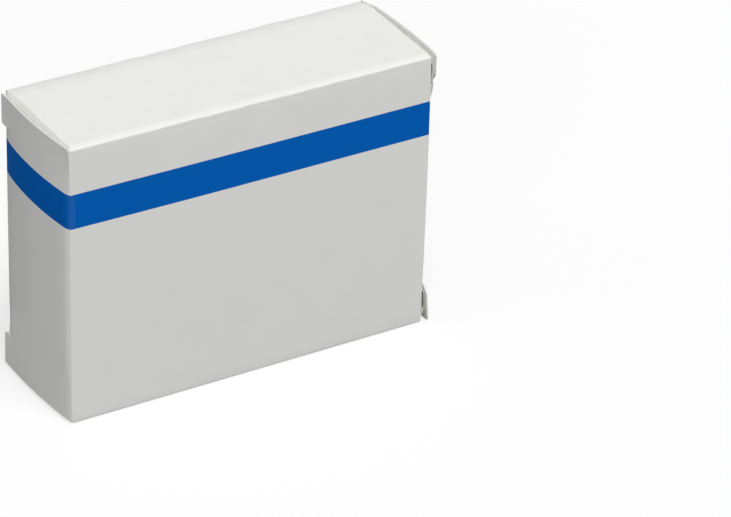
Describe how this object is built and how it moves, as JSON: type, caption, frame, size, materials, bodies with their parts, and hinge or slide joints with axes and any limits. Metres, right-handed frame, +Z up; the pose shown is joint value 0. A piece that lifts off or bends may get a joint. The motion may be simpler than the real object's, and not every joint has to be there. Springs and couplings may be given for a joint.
{
  "type": "medicine carton",
  "caption": "Small white folding carton standing on its narrow side, with a blue band round it and a tuck-in closure on a fold at each end.",
  "frame": {"origin": "on the ground, in the middle of the bottom panel", "axes": "+X along the carton to its right end, +Y from the front panel to the back panel, +Z up"},
  "size_m": [0.099, 0.0326, 0.0739],
  "materials": {
    "coated_board": "clay-coated white paperboard, satin, with a printed blue band"
  },
  "bodies": {
    "carton": {"carton_body": "coated_board"},
    "left_closure": {"left_closure": "coated_board"},
    "left_tuck": {"left_tuck": "coated_board"},
    "right_closure": {"right_closure": "coated_board"},
    "right_tuck": {"right_tuck": "coated_board"}
  },
  "joints": [
    {"name": "left_closure_fold", "type": "hinge", "parent": "carton", "child": "left_closure", "pos_m": [-0.04709, -0.01594, 0.03695], "axis": [0, 0, 1], "range_deg": [0, 120]},
    {"name": "left_tuck_fold", "type": "hinge", "parent": "left_closure", "child": "left_tuck", "pos_m": [-0.04824, 0.01457, 0.03695], "axis": [0, 0, 1], "range_deg": [-120, 0]},
    {"name": "right_closure_fold", "type": "hinge", "parent": "carton", "child": "right_closure", "pos_m": [0.04709, 0.01594, 0.03695], "axis": [0, 0, 1], "range_deg": [0, 120]},
    {"name": "right_tuck_fold", "type": "hinge", "parent": "right_closure", "child": "right_tuck", "pos_m": [0.04824, -0.01457, 0.03695], "axis": [0, 0, 1], "range_deg": [-120, 0]}
  ],
  "couplings": [
    {"joint": "left_tuck_fold", "follows": "left_closure_fold", "ratio": -0.6},
    {"joint": "right_tuck_fold", "follows": "right_closure_fold", "ratio": -0.6}
  ]
}
